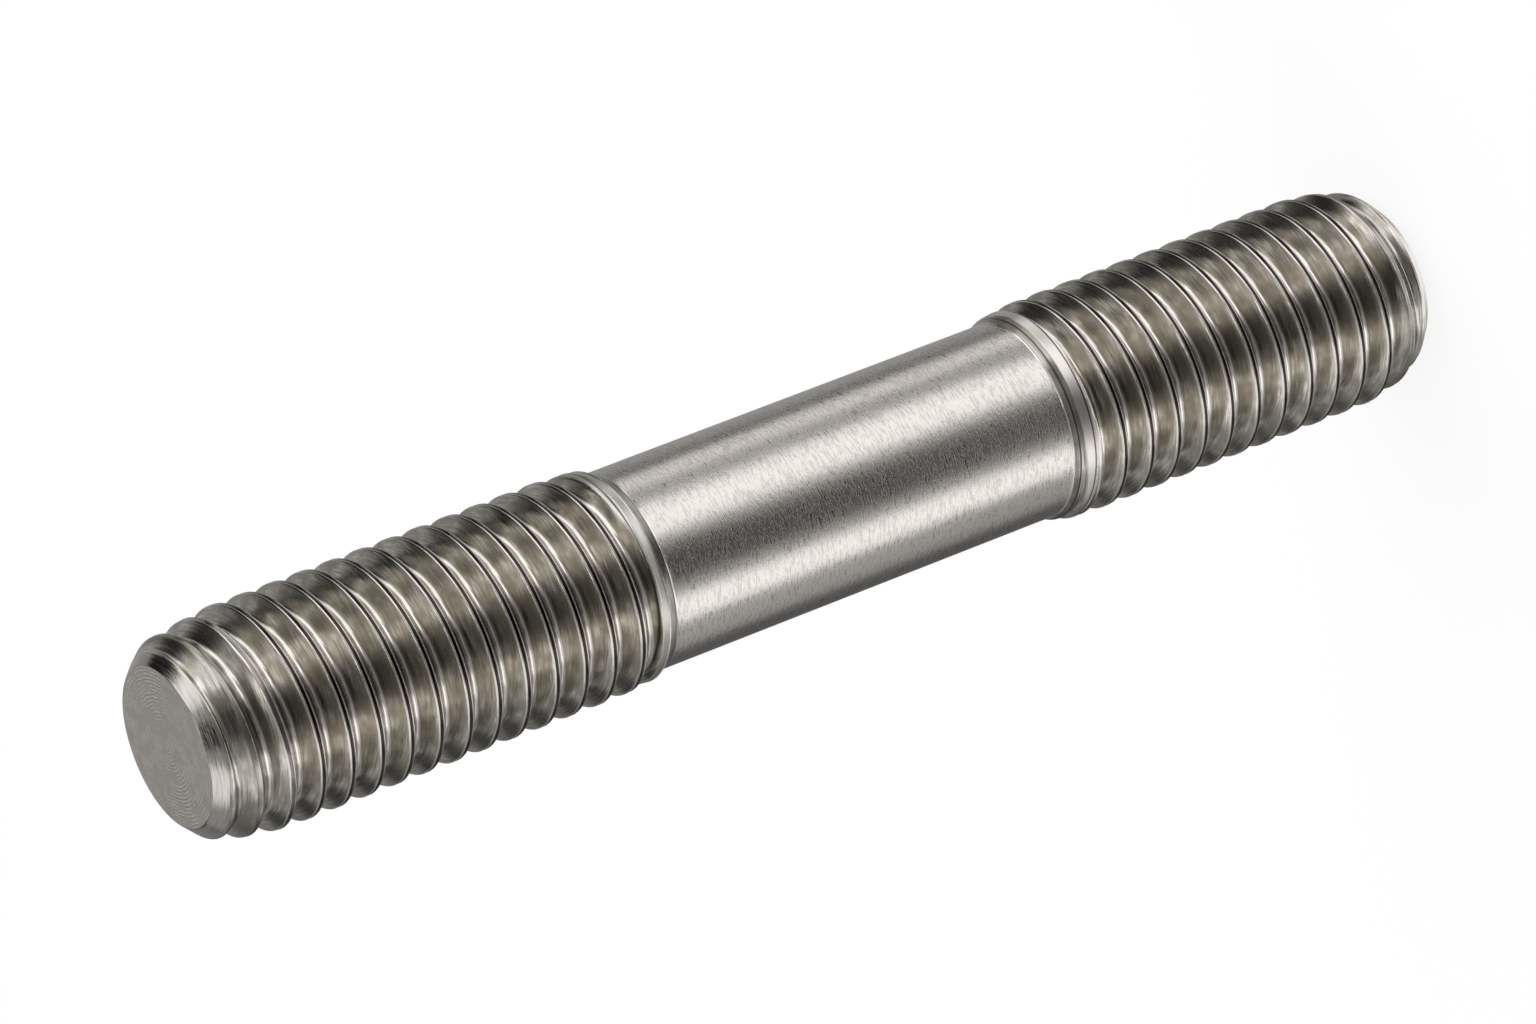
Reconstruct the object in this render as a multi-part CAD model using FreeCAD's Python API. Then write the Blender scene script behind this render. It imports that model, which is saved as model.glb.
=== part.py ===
import FreeCAD
import Part
import math
import os
from FreeCAD import Vector

# Double end stud: a steel bar with a rolled M12 x 1.75 thread on each end and a plain shank between.
# Millimetres. The axis is Z, the origin is the centre of the lower end face, and +Z points at the upper end.

# Thread, the same on both ends, right-hand
nominal_diameter = 12.0
thread_pitch = 1.75
crest_allowance = 0.10          # the rolled crests end this much under the nominal diameter
flank_angle = 30.0              # each flank leans this far from square to the axis, in degrees
run_out_clearance = 0.12        # the groove's root ends this far outside the shank

# Upper end, the longer thread, measured from its end face to where the shank begins
upper_thread_length = 27.2
upper_run_out = 3.8             # length in which the last turns fade into the shank
upper_lead = 3.4                # length in which the first crests fill out to full height
upper_thread_start = 121.0      # turn of the groove about the axis, in degrees

# Lower end, the shorter thread
lower_thread_length = 24.45
lower_run_out = 3.4
lower_lead = 2.4
lower_thread_start = 8.0

# Plain bar
shank_length = 24.85
end_chamfer = 1.07              # 45 degree chamfer, cut on the plain bar before rolling

# Basic profile of an ISO metric thread, worked out from its sharp triangle
sharp_height = thread_pitch / (2 * math.tan(math.radians(flank_angle)))
crest_radius = (nominal_diameter - crest_allowance) / 2
pitch_radius = nominal_diameter / 2 - sharp_height * 3 / 8
sharp_crest_radius = pitch_radius + sharp_height / 2
sharp_root_radius = pitch_radius - sharp_height / 2

# Rolling moves metal from the groove to the crest, so the bar itself has the pitch diameter
bar_radius = pitch_radius
total_length = lower_thread_length + shank_length + upper_thread_length


def thread_outline(length, run_out, lead):
    """Outline of one threaded end as if its groove were filled, from the end face to the shank."""
    corners = [
        Vector(0, 0, 0),
        Vector(bar_radius - end_chamfer, 0, 0),
        Vector(bar_radius, 0, end_chamfer),
        Vector(crest_radius, 0, end_chamfer + lead),
        Vector(crest_radius, 0, length - run_out),
        Vector(bar_radius, 0, length),
    ]
    return Part.makePolygon(corners)


def bar_blank():
    """The whole stud before its grooves are cut, turned about the axis."""
    lower = thread_outline(lower_thread_length, lower_run_out, lower_lead)
    upper = thread_outline(upper_thread_length, upper_run_out, upper_lead)
    upper = upper.mirror(Vector(0, 0, 0), Vector(0, 0, 1))
    upper.translate(Vector(0, 0, total_length))
    shank = Part.makeLine(
        Vector(bar_radius, 0, lower_thread_length),
        Vector(bar_radius, 0, lower_thread_length + shank_length),
    )
    axis = Part.makeLine(Vector(0, 0, total_length), Vector(0, 0, 0))
    outline = Part.Wire(Part.__sortEdges__(lower.Edges + [shank] + upper.Edges + [axis]))
    return Part.Face(outline).revolve(Vector(0, 0, 0), Vector(0, 0, 1), 360)


def flank_line(root, mouth):
    """A straight line across a flank. Its weights run as 1 / radius, so that halfway along its parameter
    a swept flank lies on the chord between its two helical edges."""
    line = Part.BSplineCurve()
    line.buildFromPolesMultsKnots([root, mouth], (2, 2), (0, 1), False, 1, [1, root.x / mouth.x])
    return line.toShape()


def groove_section(height):
    """Thread groove in the XZ plane: the two flanks of the sharp triangle, open past the crests."""
    mouth_radius = (crest_radius + sharp_crest_radius) / 2
    mouth_half = (mouth_radius - sharp_root_radius) * math.tan(math.radians(flank_angle))
    root = Vector(sharp_root_radius, 0, height)
    mouth_low = Vector(mouth_radius, 0, height - mouth_half)
    mouth_high = Vector(mouth_radius, 0, height + mouth_half)
    return Part.Wire([
        flank_line(root, mouth_high),
        Part.makeLine(mouth_high, mouth_low),
        flank_line(root, mouth_low),
    ])


def winding(bottom, top, cone_angle):
    """Helix edges of a turn each at most, end to end from z = bottom to z = top. They lie on a cylinder of
    the root radius, or on a cone that widens from it by cone_angle, along which their steps are measured."""
    count = math.ceil((top - bottom) / thread_pitch)
    rise = (top - bottom) / count
    widening = math.tan(math.radians(cone_angle))
    slant = 1 / math.cos(math.radians(cone_angle))
    edges = []
    for step in range(count):
        climbed = step * rise
        radius = sharp_root_radius + climbed * widening
        helix = Part.makeHelix(thread_pitch * slant, rise * slant, radius, cone_angle)
        helix.rotate(Vector(0, 0, 0), Vector(0, 0, 1), 360 * (bottom + climbed) / thread_pitch)
        helix.translate(Vector(0, 0, bottom + climbed))
        edges += helix.Edges
    return edges


def thread_groove(length, run_out):
    """What one thread takes out of the bar. It starts in the air a pitch below the end face at z = 0,
    winds up to the run-out, and there climbs out of the metal as it reaches the shank."""
    run_out_start = length - run_out
    climb = bar_radius + run_out_clearance - sharp_root_radius
    climb_angle = math.degrees(math.atan(climb / run_out))
    full_depth = winding(-thread_pitch, run_out_start, 0)
    leaving = winding(run_out_start, length, climb_angle)
    path = Part.Wire(full_depth + leaving)
    return path.makePipeShell([groove_section(-thread_pitch)], True, True)


def double_end_stud():
    lower = thread_groove(lower_thread_length, lower_run_out)
    lower.rotate(Vector(0, 0, 0), Vector(0, 0, 1), lower_thread_start)
    upper = thread_groove(upper_thread_length, upper_run_out)
    upper.rotate(Vector(0, 0, 0), Vector(1, 0, 0), 180)
    upper.rotate(Vector(0, 0, 0), Vector(0, 0, 1), upper_thread_start)
    upper.translate(Vector(0, 0, total_length))
    return bar_blank().cut([lower, upper]).Solids[0]


os.makedirs("parts", exist_ok=True)
stud = double_end_stud()
stud.exportStep("parts/stud.step")
print(f"stud {total_length:.2f} mm long, {stud.Volume / 1000:.3f} cm3, valid {stud.isValid()}")
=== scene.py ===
import math

import bmesh
import bpy
from mathutils import Matrix, Vector


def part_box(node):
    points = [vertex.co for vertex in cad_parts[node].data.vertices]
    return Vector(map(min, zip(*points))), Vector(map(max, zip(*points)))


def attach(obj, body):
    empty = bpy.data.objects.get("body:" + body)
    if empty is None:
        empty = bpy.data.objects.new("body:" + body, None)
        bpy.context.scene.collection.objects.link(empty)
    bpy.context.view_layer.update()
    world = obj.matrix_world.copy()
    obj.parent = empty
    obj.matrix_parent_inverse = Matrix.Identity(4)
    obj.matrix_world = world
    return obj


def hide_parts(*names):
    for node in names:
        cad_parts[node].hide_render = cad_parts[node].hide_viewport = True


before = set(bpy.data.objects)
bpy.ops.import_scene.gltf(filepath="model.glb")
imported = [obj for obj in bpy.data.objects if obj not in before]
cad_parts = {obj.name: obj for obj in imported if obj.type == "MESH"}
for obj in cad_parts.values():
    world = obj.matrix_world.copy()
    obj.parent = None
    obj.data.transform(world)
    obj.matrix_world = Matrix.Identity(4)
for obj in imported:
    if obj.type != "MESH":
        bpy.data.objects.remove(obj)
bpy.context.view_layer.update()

mm = 0.001


def linearOf(hexCode):
    # sRGB hex to the linear colour that the shaders want
    out = []
    for i in (0, 2, 4):
        c = int(hexCode[i:i + 2], 16) / 255
        out.append(c / 12.92 if c <= 0.04045 else ((c + 0.055) / 1.055) ** 2.4)
    return (*out, 1.0)


def node(tree, kind, inputs=None, **settings):
    # one node with its settings; an input is a value or another node's socket
    made = tree.nodes.new("ShaderNode" + kind)
    for key, value in settings.items():
        setattr(made, key, value)
    for key, value in (inputs or {}).items():
        if isinstance(value, bpy.types.NodeSocket):
            tree.links.new(value, made.inputs[key])
        else:
            made.inputs[key].default_value = value
    return made


def newMaterial(name):
    material = bpy.data.materials.new(name)
    material.use_nodes = True
    material.node_tree.nodes.clear()
    return material, material.node_tree


def finishMaterial(tree, shader):
    node(tree, "OutputMaterial", {"Surface": shader})


def blend(a, b, width):
    # the lower of two heights, with the corner between them rounded off
    h = max(width - abs(a - b), 0) / width
    return min(a, b) - h * h * width / 4


# Sizes in mm unless a note says otherwise. What the two ends have of their own is measured from their faces.
shape = {
    "pitch": 1.75,
    "flankLean": 30,           # degrees from square to the axis
    "crestRadius": 5.95,
    "pitchRadius": 5.4316,     # also the shank's radius: the bar is rolled, not cut
    "rootRadius": 4.9265,
    "rootRound": 0.2526,       # radius of the rounded root
    "climbFrom": 2.7,          # the groove climbs out of the metal between these distances from the shank
    "climbTo": 0.4,
    "crestRound": 0.07,        # how far the crest's two edges are eased
    "seamDepth": 0.025,        # rolling folds a shallow, lopsided trough into the crest
    "landRadius": 5.72,        # last low ridge before the shank, left smooth by the dies
    "landFrom": 1.5,           # where it starts, from the shank
    "shoulder": 0.6,           # slope from it down to the shank
    "footRound": 0.04,         # how far its foot is eased into the shank
    "burrHeight": 0.055,       # each burr has one steep side and one long one
    "burrSteep": 0.032,
    "burrWidth": 0.1,
    "darkLineHalf": 0.05,      # half the width of a thin dark line painted round the stud
    "chamfer": 1.07,
    "rimRound": 0.12,
    "firstRidge": 1.1,         # the first ridge is duller, as far as this past the chamfer
    "lower": {
        "length": 24.25,
        "lead": 2.4,               # cone on which the first crests fill out
        "runOut": 2.4,             # cone on which the last ones fade
        "start": 8,                # degrees that the groove is turned about the axis
        "burrs": (24.27, 22.98),
        "burrTo": -1,              # the way their long sides fall, 1 towards the shank
        "darkLines": (23.9, 23.07),
        "landGrime": 0.15,         # how much dirt darkens the land, and how much darker the slope is painted, 0 to 1
        "slopeDarkening": 0.3,
    },
    "upper": {
        "length": 27.22,
        "lead": 3.4,
        "runOut": 2.4,
        "start": 121,
        "burrs": (26.56, 26.09),
        "burrTo": 1,
        "darkLines": (27.11, 26.01),
        "landGrime": 0.33,
        "slopeDarkening": 0.68,
    },
    "traits": ("burnish", "grimeAndShade", "satin"),    # what the mesh tells the thread's material
    "columns": 72,             # vertices once round the stud
    "crestBand": 0.22,         # half the band about each crest with finer mesh
    "shankTurns": 33,          # turns of the mesh from the lower end face to the upper one
}
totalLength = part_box("stud")[1][2] / mm
rootEnd = shape["rootRound"] * math.cos(math.radians(shape["flankLean"]))
rootCentre = shape["rootRadius"] + shape["rootRound"]
flankFoot = rootCentre - shape["rootRound"] * math.sin(math.radians(shape["flankLean"]))
flankSlope = 1 / math.tan(math.radians(shape["flankLean"]))
crestEdge = (shape["crestRadius"] - flankFoot) / flankSlope


def ramp(value, low, high):
    # 0 up to low, 1 from high on
    return min(max((value - low) / (high - low), 0), 1)


def endAt(z):
    # the threaded end that a height belongs to, and the distance from its end face
    return (shape["lower"], z) if z < totalLength / 2 else (shape["upper"], totalLength - z)


def seamDip(offset):
    # how deep the crest's trough is, at offset along the axis from the groove's centre line
    above = (offset % shape["pitch"]) - shape["pitch"] / 2
    return shape["seamDepth"] * ramp(-above, -0.125, -0.08) * ramp(above, -0.135, -0.075)


def burrAt(x, end):
    # how high a burr stands at x, and how close its steep side is, both 0 to 1
    height = edge = 0
    for at in end["burrs"]:
        over = (x - at) * end["burrTo"]
        rise = ramp(over, 0, shape["burrSteep"])
        height = max(height, rise * ramp(-over, -shape["burrWidth"], -shape["burrSteep"]))
        edge = max(edge, ramp(over, -0.01, 0) * ramp(-over, -0.07, -0.05))
    return height, edge


def bodyHeight(x, end):
    # radius of the end with its groove filled, at x from the end face
    bar, crest, land = shape["pitchRadius"], shape["crestRadius"], shape["landRadius"]
    left = end["length"] - x
    chamferLine = bar - shape["chamfer"] + x
    leadLine = bar + (x - shape["chamfer"]) * (crest - bar) / end["lead"]
    runOutLine = land + (left - shape["shoulder"]) * (crest - land) / (end["runOut"] - shape["shoulder"])
    shoulderLine = bar + left * (land - bar) / shape["shoulder"]
    height = blend(chamferLine, blend(leadLine, crest, 0.08), 0.05)
    height = blend(blend(height, runOutLine, 0.08), shoulderLine, 0.03)
    if x > end["length"] / 2:
        height = -blend(-height, -bar, shape["footRound"])
    return height + shape["burrHeight"] * burrAt(x, end)[0]


def grooveHeight(offset, x, end):
    # radius of the groove's own surface, at offset along the axis from its centre line. Near the end face
    # its flanks end at the same narrow crest as elsewhere, and before the shoulder it climbs out
    body = bodyHeight(x, end)
    climbed = ramp(x, end["length"] - shape["climbFrom"], end["length"] - shape["climbTo"])
    climb = climbed * climbed * (body + 0.02 - shape["rootRadius"])
    a = abs(offset)
    if a < rootEnd:
        return climb + rootCentre - math.sqrt(shape["rootRound"] ** 2 - a * a)
    slope = flankSlope
    if x < end["length"] / 2:
        slope = max(body - flankFoot, 0.1) / crestEdge
    return climb + flankFoot + (a - rootEnd) * slope


def surfaceAt(angle, z):
    # radius of the stud, and how burnished, darkened by dirt or painted shade, and satin it is there
    end, x = endAt(z)
    if x > end["length"] + 0.2:
        return shape["pitchRadius"], (0, 0, 0)
    faceHeight = 0 if end is shape["lower"] else totalLength
    turn = (z - faceHeight) / shape["pitch"] + end["start"] / 360 - angle / (2 * math.pi)
    offset = (turn - round(turn)) * shape["pitch"]
    radius = bodyHeight(x, end)
    if x < shape["chamfer"]:
        return blend(radius, grooveHeight(offset, x, end), shape["crestRound"]), (0, 0, 0)
    if x > end["length"]:
        return radius, (1, 0, 0)
    # how far this place is on the land, the slope after it, the slope's foot and the first ridge, 0 to 1
    left = end["length"] - x
    onLand = ramp(x, end["length"] - shape["landFrom"], end["length"] - shape["landFrom"] + 0.15)
    slope = ramp(-left, -shape["shoulder"], -shape["shoulder"] + 0.05)
    foot = ramp(-left, -0.06, -0.04)
    ridgeEnd = shape["chamfer"] + shape["firstRidge"]
    firstRidge = 1 - ramp(x, ridgeEnd, ridgeEnd + 0.6)
    dip = seamDip(offset) * ramp(x, shape["chamfer"], shape["chamfer"] + end["lead"]) * (1 - onLand)
    radius -= dip
    groove = grooveHeight(offset, x, end)
    # the dies leave crests, roots and burrs bright; the trough is painted dark as painted shade over old
    # oil, and the slope, the thin lines round the stud, the land and the first ridge are painted darker
    crest = ramp(shape["pitch"] / 2 - abs(offset), 0.19, 0.13) * (1 - firstRidge)
    root = ramp(abs(offset), 0.16, 0.08) * 0.8
    burr = burrAt(x, end)[1]
    shine = max(crest, root, burr, foot)
    satin = onLand * ramp(groove - radius, 0, 0.03) * ramp(left, shape["shoulder"], shape["shoulder"] + 0.05)
    line = max(math.exp(-((x - at) / shape["darkLineHalf"]) ** 2) for at in end["darkLines"])
    slopeDarkened = slope * end["slopeDarkening"] * (1 - foot)
    # the trough goes fully dark as painted shade over old oil; the slope and the thin lines are painted
    # darker, the land and the first ridge dirtier
    grimeAndShade = max(dip / shape["seamDepth"], slopeDarkened, satin * end["landGrime"], line, firstRidge * 0.3)
    return blend(radius, groove, shape["crestRound"]), (shine, grimeAndShade * (1 - burr), satin * (1 - burr))


def profileSteps():
    # places across one pitch, closer together where the surface bends
    bend = shape["pitch"] / 2 - shape["crestBand"]
    steps = [rootEnd * i / 4 for i in range(5)]
    steps += [rootEnd + (bend - rootEnd) * i / 4 for i in range(1, 5)]
    steps += [bend + shape["crestBand"] * i / 9 for i in range(1, 10)]
    across = [-s for s in reversed(steps[1:])] + steps
    return across[:-1]


def buildStud():
    # one strip of quads as wide as a pitch winds up the stud, so its rows follow the groove, and each turn's
    # last row joins on to the first row of the next turn
    pitch = shape["pitch"]
    lower, upper = shape["lower"], shape["upper"]
    columns = shape["columns"]
    steps = profileSteps()
    rows = len(steps)
    lowerPhase = 0.5 + lower["start"] / 360
    upperPhase = 0.5 + upper["start"] / 360 + shape["shankTurns"]
    shankFrom = lower["length"] / pitch + lowerPhase
    shankTo = -upper["length"] / pitch + upperPhase

    def heightOf(turn):
        if turn < shankFrom:
            return pitch * (turn - lowerPhase)
        if turn > shankTo:
            return totalLength + pitch * (turn - upperPhase)
        along = (turn - shankFrom) / (shankTo - shankFrom)
        return lower["length"] + along * (totalLength - lower["length"] - upper["length"])

    vertices, traits = [], []
    first, last = -2 * columns, int((upperPhase + 1.2) * columns)
    for m in range(first, last + columns):
        angle = 2 * math.pi * m / columns
        for step in steps:
            z = heightOf(m / columns + 0.5 + step / pitch)
            radius, trait = surfaceAt(angle, z)
            vertices.append((radius * math.cos(angle) * mm, radius * math.sin(angle) * mm, z * mm))
            traits.append(trait)
    faces = []
    for m in range(last - first - 1):
        for j in range(rows):
            a = m * rows + j
            b = a + rows
            if j < rows - 1:
                faces.append((a, b, b + 1, a + 1))
            else:
                faces.append((a, b, b + 1 + (columns - 1) * rows, a + 1 + (columns - 1) * rows))
    mesh = bpy.data.meshes.new("stud")
    mesh.from_pydata(vertices, [], faces)
    for name, values in zip(shape["traits"], zip(*traits)):
        mesh.attributes.new(name, "FLOAT", "POINT").data.foreach_set("value", values)
    return mesh


def cutShoulder(bm, end, toEndFace):
    # rings of edges at the shoulder's bends, burrs and dark lines, where the mesh's own rows slant across
    faceHeight = 0 if end is shape["lower"] else totalLength
    layers = [bm.verts.layers.float[name] for name in shape["traits"]]
    rings = [end["length"] + s for s in (-0.13, -0.09, -0.06, -0.03, 0, 0.03, 0.06, 0.09)]
    rings += [end["length"] - shape["shoulder"] + s for s in (-0.05, 0, 0.05)]
    steep, width = shape["burrSteep"], shape["burrWidth"]
    across = (-0.01, 0, steep / 2, steep, 0.055, width)
    rings += [at + s * end["burrTo"] for at in end["burrs"] for s in across]
    rings += [at + s for at in end["darkLines"] for s in (-0.06, -0.03, 0, 0.03, 0.06)]
    for x in sorted(rings):
        z = faceHeight + x * toEndFace
        everything = bm.verts[:] + bm.edges[:] + bm.faces[:]
        cut = bmesh.ops.bisect_plane(bm, geom=everything, dist=1e-8, plane_co=(0, 0, z * mm),
                                     plane_no=(0, 0, 1))
        for v in cut["geom_cut"]:
            if isinstance(v, bmesh.types.BMVert):
                angle = math.atan2(v.co.y, v.co.x)
                radius, trait = surfaceAt(angle, z)
                v.co.x, v.co.y = radius * math.cos(angle) * mm, radius * math.sin(angle) * mm
                for layer, value in zip(layers, trait):
                    v[layer] = value


def closeEnd(bm, height, outward):
    # cuts the open end square where the rim starts, and adds the rounded rim and the face
    faceRadius = shape["pitchRadius"] - shape["chamfer"]
    tangent = shape["rimRound"] * math.tan(math.radians(22.5))
    cutAt = tangent * math.cos(math.radians(45))
    plane = (height - outward * cutAt) * mm
    everything = bm.verts[:] + bm.edges[:] + bm.faces[:]
    bmesh.ops.bisect_plane(bm, geom=everything, dist=1e-8, plane_co=(0, 0, plane),
                           plane_no=(0, 0, outward), clear_outer=True)
    rim = [e for e in bm.edges if e.is_boundary and abs(e.verts[0].co.z - plane) < 1e-7
           and abs(e.verts[1].co.z - plane) < 1e-7]
    loop = sorted({v for e in rim for v in e.verts}, key=lambda v: math.atan2(v.co.y, v.co.x))
    rings = []
    for i in range(1, 5):
        lean = math.radians(45 - 45 * i / 4)
        radius = faceRadius - tangent + shape["rimRound"] * math.sin(lean)
        rings.append((radius, shape["rimRound"] * (1 - math.cos(lean))))
    flat = faceRadius - tangent
    rings += [(flat - 0.05, 0), (flat * 0.8, 0), (flat * 0.6, 0), (flat * 0.4, 0), (flat * 0.2, 0)]
    outer = loop
    for radius, depth in rings:
        inner = []
        for v in loop:
            angle = math.atan2(v.co.y, v.co.x)
            at = Vector((radius * math.cos(angle), radius * math.sin(angle), height - outward * depth))
            inner.append(bm.verts.new(at * mm))
        for i in range(len(loop)):
            k = (i + 1) % len(loop)
            quad = (outer[i], outer[k], inner[k], inner[i])
            bm.faces.new(quad if outward > 0 else quad[::-1])
        outer = inner
    centre = bm.verts.new((0, 0, height * mm))
    for i in range(len(loop)):
        k = (i + 1) % len(loop)
        corner = (outer[i], outer[k], centre)
        bm.faces.new(corner if outward > 0 else corner[::-1])


finishes = {
    # sRGB colours and micro-roughness of each way the steel was worked
    "shankColour": "C0BBB6",
    "shankMark": "A7A29D",
    "shankRoughness": 0.24,
    "threadColour": "D3CFC9",
    "threadStain": "999388",
    "threadTrail": "9B968C",
    "threadRoughness": 0.2,
    "crestColour": "CBC7C2",
    "crestRoughness": 0.1,
    "grimeAndShade": "302B26",         # painted shade over old oil in the crests' trough, and darker paint on the shoulder
    "landColour": "D6D2CD",
    "landRoughness": 0.34,
    "chamferColour": "BEB9B4",
    "chamferMark": "9F9A95",
    "chamferRoughness": 0.15,
    "chamferSpacing": 0.07,    # mm between the chamfer's tool marks
    "faceColour": "A39E98",
    "faceLine": "CDC8C2",
    "facePit": "8F8A84",
    "faceRoughness": 0.42,
    "scratchSpacing": 0.09,    # mm between the shank's grinding marks, coarser than real ones so they show
    "scratchLength": 0.55,
    "stainSize": 0.9,          # mm across a patch of the thread's film
    "trailSpacing": 0.07,      # mm between the trails that the dies leave along the thread
    "trailLength": 1.4,
    "turningSpacing": 0.2,     # mm between the end face's turning marks
}


def stretchedNoise(tree, acrossMm, alongMm, detail=2.0, roughness=0.5):
    # noise whose grains are acrossMm wide along the stud's axis and alongMm long round it
    place = node(tree, "TexCoord")
    scale = (1 / (alongMm * mm), 1 / (alongMm * mm), 1 / (acrossMm * mm))
    spread = node(tree, "Mapping", {"Vector": place.outputs["Object"], "Scale": scale})
    return node(tree, "TexNoise", {"Vector": spread.outputs["Vector"], "Scale": 1.0,
                                   "Detail": detail, "Roughness": roughness})


def between(tree, value, low, high, toLow=0.0, toHigh=1.0):
    # stretches the part of a pattern between low and high to a new range
    made = node(tree, "MapRange", {"Value": value, "From Min": low, "From Max": high,
                                   "To Min": toLow, "To Max": toHigh})
    return made.outputs["Result"]


def groundSteel():
    # centreless-ground bar, plain steel: a satin sheen broken up by fine marks that run round the shank
    material, tree = newMaterial("groundSteelSatin")
    marks = stretchedNoise(tree, finishes["scratchSpacing"], finishes["scratchLength"], 3.0, 0.65)
    grain = stretchedNoise(tree, 0.07, 0.09, 2.0)
    streak = between(tree, marks.outputs["Fac"], 0.4, 0.5)
    colour = node(tree, "Mix", {"Factor": streak, "A": linearOf(finishes["shankMark"]),
                                "B": linearOf(finishes["shankColour"])}, data_type="RGBA")
    rough = between(tree, marks.outputs["Fac"], 0.35, 0.65, finishes["shankRoughness"] - 0.06,
                    finishes["shankRoughness"] + 0.05)
    scratch = node(tree, "Bump", {"Height": streak, "Strength": 1.0, "Distance": 0.003 * mm})
    speck = node(tree, "Bump", {"Height": grain.outputs["Fac"], "Strength": 0.2, "Distance": 0.008 * mm,
                                "Normal": scratch.outputs["Normal"]})
    steel = node(tree, "BsdfPrincipled", {"Base Color": colour.outputs["Result"], "Metallic": 1.0,
                                          "Roughness": rough, "Normal": speck.outputs["Normal"]})
    finishMaterial(tree, steel.outputs["BSDF"])
    return material


def rolledSteel():
    # cold-rolled thread: burnished bright on the crests, duller on the flanks, with a thin brown film of
    # rolling oil in soft patches and faint trails along the thread
    material, tree = newMaterial("rolledSteelThread")
    burnish = node(tree, "Attribute", attribute_name="burnish")
    film = stretchedNoise(tree, finishes["stainSize"], finishes["stainSize"] * 1.6, 2.0, 0.5)
    trails = stretchedNoise(tree, finishes["trailSpacing"], finishes["trailLength"], 3.0, 0.6)
    amount = between(tree, film.outputs["Fac"], 0.38, 0.64)
    colour = node(tree, "Mix", {"Factor": amount, "A": linearOf(finishes["threadColour"]),
                                "B": linearOf(finishes["threadStain"])}, data_type="RGBA")
    streak = between(tree, trails.outputs["Fac"], 0.35, 0.65)
    streaked = node(tree, "Mix", {"Factor": streak, "A": colour.outputs["Result"],
                                  "B": linearOf(finishes["threadTrail"])}, data_type="RGBA")
    # bare crests and roots over the film, then the dies' satin land, then the dirt and the painted shade
    bare = node(tree, "Mix", {"Factor": burnish.outputs["Fac"], "A": streaked.outputs["Result"],
                              "B": linearOf(finishes["crestColour"])}, data_type="RGBA")
    dull = between(tree, film.outputs["Fac"], 0.3, 0.7, finishes["threadRoughness"] - 0.05,
                   finishes["threadRoughness"] + 0.06)
    satin = node(tree, "Attribute", attribute_name="satin")
    land = node(tree, "Mix", {"Factor": satin.outputs["Fac"], "A": bare.outputs["Result"],
                              "B": linearOf(finishes["landColour"])}, data_type="RGBA")
    # painted shade: this mask darkens the crests' trough to the dark colour, along with the slope, the thin
    # lines round the stud, the land and the first ridge
    grimeAndShade = node(tree, "Attribute", attribute_name="grimeAndShade")
    grimedAndShaded = node(tree, "Mix", {"Factor": grimeAndShade.outputs["Fac"], "A": land.outputs["Result"],
                               "B": linearOf(finishes["grimeAndShade"])}, data_type="RGBA")
    shine = node(tree, "Mix", {"Factor": burnish.outputs["Fac"], "A": dull, "B": finishes["crestRoughness"]})
    rough = node(tree, "Mix", {"Factor": satin.outputs["Fac"], "A": shine.outputs["Result"],
                               "B": finishes["landRoughness"]})
    dents = node(tree, "Bump", {"Height": film.outputs["Fac"], "Strength": 0.3, "Distance": 0.02 * mm})
    lines = node(tree, "Bump", {"Height": trails.outputs["Fac"], "Strength": 0.6, "Distance": 0.012 * mm,
                                "Normal": dents.outputs["Normal"]})
    steel = node(tree, "BsdfPrincipled", {"Base Color": grimedAndShaded.outputs["Result"],
                                          "Roughness": rough.outputs["Result"],
                                          "Metallic": 1.0, "Normal": lines.outputs["Normal"]})
    finishMaterial(tree, steel.outputs["BSDF"])
    return material


def turnedSteel():
    # turned chamfer: bright, with tool marks that run round it
    material, tree = newMaterial("turnedSteelChamfer")
    marks = stretchedNoise(tree, finishes["chamferSpacing"], 1.6, 3.0, 0.6)
    rough = between(tree, marks.outputs["Fac"], 0.3, 0.7, finishes["chamferRoughness"] - 0.06,
                    finishes["chamferRoughness"] + 0.08)
    cut = node(tree, "Bump", {"Height": marks.outputs["Fac"], "Strength": 0.5, "Distance": 0.02 * mm})
    tone = between(tree, marks.outputs["Fac"], 0.3, 0.7)
    colour = node(tree, "Mix", {"Factor": tone, "A": linearOf(finishes["chamferMark"]),
                                "B": linearOf(finishes["chamferColour"])}, data_type="RGBA")
    steel = node(tree, "BsdfPrincipled", {"Base Color": colour.outputs["Result"], "Metallic": 1.0,
                                          "Roughness": rough, "Normal": cut.outputs["Normal"]})
    finishMaterial(tree, steel.outputs["BSDF"])
    return material


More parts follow.
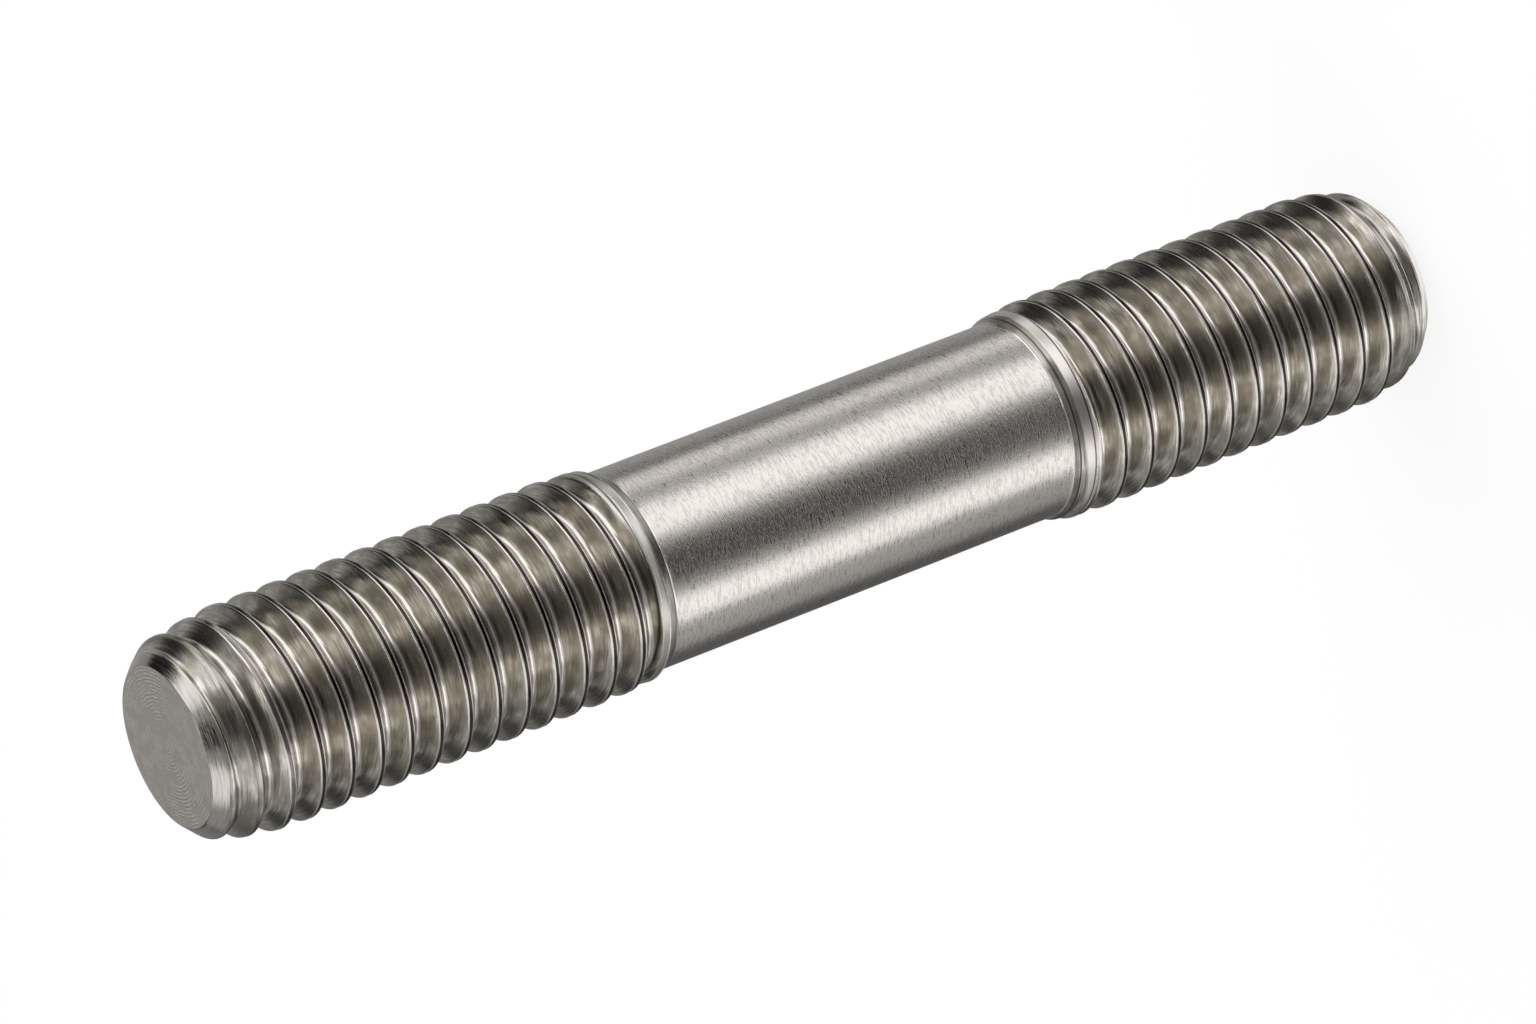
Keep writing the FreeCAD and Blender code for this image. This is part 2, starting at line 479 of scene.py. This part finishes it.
def facedSteel():
    # faced end: matt grey, with shallow turning rings about the centre that come and go, and fine pits
    material, tree = newMaterial("facedSteelEnd")
    place = node(tree, "TexCoord")
    flat = node(tree, "Mapping", {"Vector": place.outputs["Object"], "Scale": (1, 1, 0)})
    rings = node(tree, "TexWave", {"Vector": flat.outputs["Vector"],
                                   "Scale": 2 * math.pi / (20 * finishes["turningSpacing"] * mm),
                                   "Distortion": 2.5, "Detail": 3.0, "Detail Scale": 2.0},
                 wave_type="RINGS", rings_direction="Z")
    spot = place.outputs["Object"]
    grain = node(tree, "TexNoise", {"Vector": spot, "Scale": 1 / (0.07 * mm), "Detail": 3.0})
    worn = node(tree, "TexNoise", {"Vector": spot, "Scale": 1 / (0.8 * mm), "Detail": 2.0})
    patch = between(tree, worn.outputs["Fac"], 0.42, 0.56)
    height = node(tree, "Math", {0: rings.outputs["Fac"], 1: patch}, operation="MULTIPLY")
    cutTone = node(tree, "Mix", {"Factor": height.outputs[0], "A": linearOf(finishes["faceColour"]),
                                 "B": linearOf(finishes["faceLine"])}, data_type="RGBA")
    tone = between(tree, grain.outputs["Fac"], 0.3, 0.7)
    colour = node(tree, "Mix", {"Factor": tone, "A": linearOf(finishes["facePit"]),
                                "B": cutTone.outputs["Result"]}, data_type="RGBA")
    cut = node(tree, "Bump", {"Height": height.outputs[0], "Strength": 1.0, "Distance": 0.012 * mm})
    pits = node(tree, "Bump", {"Height": grain.outputs["Fac"], "Strength": 0.6, "Distance": 0.015 * mm,
                               "Normal": cut.outputs["Normal"]})
    steel = node(tree, "BsdfPrincipled", {"Base Color": colour.outputs["Result"],
                                          "Roughness": finishes["faceRoughness"],
                                          "Metallic": 1.0, "Normal": pits.outputs["Normal"]})
    finishMaterial(tree, steel.outputs["BSDF"])
    return material


def faceFinish(face):
    # which way of working made this face: 0 shank, 1 thread, 2 chamfer, 3 end face
    centre = face.calc_center_median() / mm
    radius = math.hypot(centre.x, centre.y)
    end, x = endAt(centre.z)
    if x < 0.01:
        return 3
    if x < shape["chamfer"] + 0.02 and radius > bodyHeight(x, end) - 0.04:
        return 2
    if x > end["length"] + 0.03:
        return 0
    return 1


def makeStud():
    mesh = buildStud()
    bm = bmesh.new()
    bm.from_mesh(mesh)
    closeEnd(bm, 0, -1)
    closeEnd(bm, totalLength, 1)
    cutShoulder(bm, shape["lower"], 1)
    cutShoulder(bm, shape["upper"], -1)
    for face in bm.faces:
        face.material_index = faceFinish(face)
        face.smooth = True
    bm.to_mesh(mesh)
    bm.free()
    stud = bpy.data.objects.new("studBody", mesh)
    bpy.context.collection.objects.link(stud)
    for material in (groundSteel(), rolledSteel(), turnedSteel(), facedSteel()):
        mesh.materials.append(material)
    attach(stud, "root")
    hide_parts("stud")
    return stud


stud = makeStud()
print("stud built:", len(stud.data.polygons), "faces")


view = {
    "aim": (0.0002, 0, 0.0399),   # metres, near the middle of the shank
    "distance": 0.4688,
    "elevation": 27.67,           # degrees, as are the next two
    "azimuth": -0.03,
    "roll": 111.06,               # the stud stands, and the camera lies on its side to it
    "lens": 210.9,                # mm, on a frame 36 mm wide
}


def makeCamera():
    up, turn = math.radians(view["elevation"]), math.radians(view["azimuth"])
    back = Vector((math.sin(turn) * math.cos(up), -math.cos(turn) * math.cos(up), math.sin(up)))
    level = Vector((math.cos(turn), math.sin(turn), 0))
    upright = back.cross(level)
    roll = math.radians(view["roll"])
    cameraUp = upright * math.cos(roll) + level * math.sin(roll)
    cameraRight = cameraUp.cross(back)
    data = bpy.data.cameras.new("camera")
    data.lens = view["lens"]
    data.sensor_width = 36
    data.clip_start, data.clip_end = 0.01, 20
    camera = bpy.data.objects.new("camera", data)
    stance = Matrix((cameraRight, cameraUp, back)).transposed().to_4x4()
    camera.matrix_world = Matrix.Translation(Vector(view["aim"]) + back * view["distance"]) @ stance
    bpy.context.collection.objects.link(camera)
    bpy.context.scene.camera = camera


makeCamera()


studio = {
    "floorGlow": 0.83,      # what the pale floor shows by itself; the lamps and the sky add the rest
    "floorPaint": 0.22,
    "floorHalf": 4.0,       # metres from its middle to its edge
    "sky": 0.6,
    "lampDistance": 0.57,
    "shellRadius": 1.5,
    "shellStep": 3,         # degrees between the shell's meridians
}

# Lamps for the floor and its shadow: compass angle and height in degrees, size in metres, and level.
lamps = {
    "keyLamp": (0, 57, (0.5, 0.28), 1.7),
    "fillLamp": (178, 42, (0.3, 0.25), 1.3),
}

# Softboxes and flags round the stud, painted on the shell in this order: compass angles, heights and width
# of their soft edges, all in degrees, and brightness, where 1 is white. The camera stands at -90.
cards = {
    "greyWalls": ((0, 360), (-90, 90), 1, 0.45),
    "whiteSweepBelow": ((0, 360), (-90, -53), 16, 1.7),
    "flagUnder": ((-150, -22), (-90, -69), 8, 0.06),
    "softboxRight": ((-68, -27), (-52, 2), 9, 1.85),
    "softboxRightHigh": ((-46, 5), (-12, 63), 9, 1.8),
    "softboxLeft": ((190, 222), (-52, 2), 9, 1.9),
    "softboxLeftWing": ((160, 192), (-24, -4), 8, 0.85),
    "softboxLeftHigh": ((186, 218), (-4, 40), 10, 1.0),
    "softboxOverLeft": ((146, 206), (37, 68), 10, 1.5),
    "softboxBack": ((74, 106), (16, 66), 12, 1.0),
    "stripFarRight": ((-3, 19), (-45, -2), 6, 1.3),
    "softboxOver": ((-110, 20), (76, 90), 8, 2.2),
    "flagFrontHigh": ((-122, -80), (-20, 58), 14, 0.24),
    "flagFront": ((-122, -81), (-33, -14), 8, 0.01),
    "flagFrontOver": ((-124, -70), (56, 73), 8, 0.02),
    "flagBackRightLow": ((23, 36), (-42, -4), 8, 0.1),
    "flagBackRight": ((15, 50), (14, 53), 9, 0.02),
    "flagBackLeft": ((94, 126), (8, 30), 8, 0.05),
    "flagBackLeftLow": ((98, 146), (-42, -8), 12, 0.13),
    "flagBackLeftMiddle": ((98, 158), (-8, 12), 8, 0.28),
}


def seenDirectly(tree):
    # 1 for what the camera sees, also in a reflection or through glass
    path = node(tree, "LightPath")
    seen = node(tree, "Math", {0: path.outputs["Is Camera Ray"], 1: path.outputs["Is Glossy Ray"]},
                operation="MAXIMUM")
    through = node(tree, "Math", {0: seen.outputs[0], 1: path.outputs["Is Transmission Ray"]},
                   operation="MAXIMUM")
    return through.outputs[0]


def makeFloor():
    material, tree = newMaterial("paleFloorPaint")
    grain = node(tree, "TexNoise", {"Scale": 40.0})
    paint = between(tree, grain.outputs["Fac"], 0.0, 1.0, studio["floorPaint"] - 0.005,
                    studio["floorPaint"] + 0.005)
    diffuse = node(tree, "BsdfDiffuse", {"Color": paint})
    strength = node(tree, "Math", {0: seenDirectly(tree), 1: studio["floorGlow"]}, operation="MULTIPLY")
    glow = node(tree, "Emission", {"Color": (1, 1, 1, 1), "Strength": strength.outputs[0]})
    both = node(tree, "AddShader", {0: diffuse.outputs[0], 1: glow.outputs[0]})
    finishMaterial(tree, both.outputs[0])
    mesh = bpy.data.meshes.new("floor")
    half = studio["floorHalf"]
    corners = [(-half, -half, 0), (half, -half, 0), (half, half, 0), (-half, half, 0)]
    mesh.from_pydata(corners, [], [(0, 1, 2, 3)])
    mesh.materials.append(material)
    floor = bpy.data.objects.new("floor", mesh)
    bpy.context.collection.objects.link(floor)
    floor.visible_glossy = False


def makeSky():
    world = bpy.data.worlds.new("sky")
    bpy.context.scene.world = world
    world.use_nodes = True
    tree = world.node_tree
    tree.nodes.clear()
    strength = between(tree, seenDirectly(tree), 0, 1, studio["sky"], 1.05)
    backdrop = node(tree, "Background", {"Color": (1, 1, 1, 1), "Strength": strength})
    node(tree, "OutputWorld", {"Surface": backdrop.outputs[0]})


def aim(azimuth, elevation):
    a, e = math.radians(azimuth), math.radians(elevation)
    return Vector((math.cos(a) * math.cos(e), math.sin(a) * math.cos(e), math.sin(e)))


def softStep(inside, feather):
    # 0 well outside an edge, 1 well inside it
    t = min(max(inside / feather + 0.5, 0), 1)
    return t * t * (3 - 2 * t)


def shellLevel(azimuth, elevation):
    level = 0
    for azimuths, elevations, feather, brightness in cards.values():
        middle, half = sum(azimuths) / 2, (azimuths[1] - azimuths[0]) / 2
        aside = abs((azimuth - middle + 180) % 360 - 180)
        cover = 1 if half >= 180 else softStep(half - aside, feather)
        cover *= softStep(elevation - elevations[0], feather) if elevations[0] > -90 else 1
        cover *= softStep(elevations[1] - elevation, feather) if elevations[1] < 90 else 1
        level += (brightness - level) * cover
    return level


def makeShell():
    # the studio as the steel's reflections show it; nothing else sees it
    material, tree = newMaterial("softboxesAndFlags")
    painted = node(tree, "Attribute", attribute_name="glow")
    glow = node(tree, "Emission", {"Color": (1, 1, 1, 1), "Strength": painted.outputs["Fac"]})
    finishMaterial(tree, glow.outputs[0])
    step = studio["shellStep"]
    columns, rows = 360 // step, 180 // step
    middle = Vector((0, 0, totalLength * mm / 2))
    points, levels, faces = [], [], []
    for i in range(columns):
        for k in range(rows + 1):
            azimuth, elevation = i * step, -90 + k * step
            points.append(aim(azimuth, elevation) * studio["shellRadius"] + middle)
            levels.append(shellLevel(azimuth, elevation))
            if k < rows:
                a, b = i * (rows + 1) + k, (i + 1) % columns * (rows + 1) + k
                faces.append((a, a + 1, b + 1, b))
    mesh = bpy.data.meshes.new("studioShell")
    mesh.from_pydata(points, [], faces)
    mesh.attributes.new("glow", "FLOAT", "POINT").data.foreach_set("value", levels)
    mesh.materials.append(material)
    shell = bpy.data.objects.new("studioShell", mesh)
    bpy.context.collection.objects.link(shell)
    shell.visible_camera = False
    shell.visible_diffuse = False
    shell.visible_transmission = False
    shell.visible_volume_scatter = False
    shell.visible_shadow = False


def softLamp(name, azimuth, elevation, size, level):
    # an area lamp turned to the stud's middle
    direction = aim(azimuth, elevation)
    data = bpy.data.lights.new(name, "AREA")
    data.shape = "RECTANGLE"
    data.size, data.size_y = size
    data.energy = level * math.pi * size[0] * size[1]
    lamp = bpy.data.objects.new(name, data)
    lamp.location = direction * studio["lampDistance"] + Vector((0, 0, totalLength * mm / 2))
    lamp.rotation_euler = direction.to_track_quat("Z", "Y").to_euler()
    lamp.visible_camera = False
    lamp.visible_glossy = False
    bpy.context.collection.objects.link(lamp)


def makeStudio():
    bpy.context.scene.view_settings.view_transform = "Standard"
    makeFloor()
    makeSky()
    makeShell()
    for name, (azimuth, elevation, size, level) in lamps.items():
        softLamp(name, azimuth, elevation, size, level)


makeStudio()
print("studio built")
